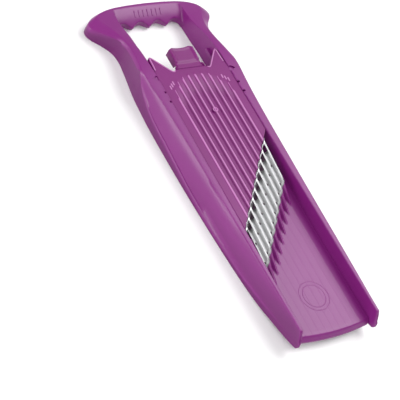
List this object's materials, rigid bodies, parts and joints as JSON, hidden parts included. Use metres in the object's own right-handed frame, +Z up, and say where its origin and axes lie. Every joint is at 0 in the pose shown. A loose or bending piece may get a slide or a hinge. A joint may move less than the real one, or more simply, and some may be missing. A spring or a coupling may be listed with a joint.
{
  "type": "mandoline slicer",
  "caption": "Hand-held wave-cut mandoline slicer: handled moulded frame, diagonal corrugated blade, ribbed sliding guide plate with thumb latch.",
  "frame": {"origin": "centre of the overall footprint, on the worktop under the rails", "axes": "+X across the slicer to its right when the handle is away from the viewer, +Y along the slicer to the handle, +Z up through the cutting side"},
  "size_m": [0.141, 0.3874, 0.0294],
  "materials": {
    "frame_plastic": "satin moulded",
    "plate_plastic": "satin moulded",
    "stake_plastic": "heat-formed",
    "blade_steel": "ground and polished"
  },
  "bodies": {
    "slicer": {"frame": "frame_plastic", "wave_blade": "blade_steel", "blade_stakes": "stake_plastic"},
    "guide": {"guide_plate": "plate_plastic"},
    "latch": {"thumb_latch": "plate_plastic"}
  },
  "joints": [
    {"name": "thickness_slide", "type": "slide", "parent": "slicer", "child": "guide", "axis": [0, 0.96, -0.28], "range_m": [0, 0.0125]},
    {"name": "thumb_press", "type": "hinge", "parent": "guide", "child": "latch", "pos_m": [0, 0.1023, 0.02575], "axis": [1, 0, 0], "range_deg": [-6, 0], "stiffness_Nm_per_rad": 0.6}
  ]
}
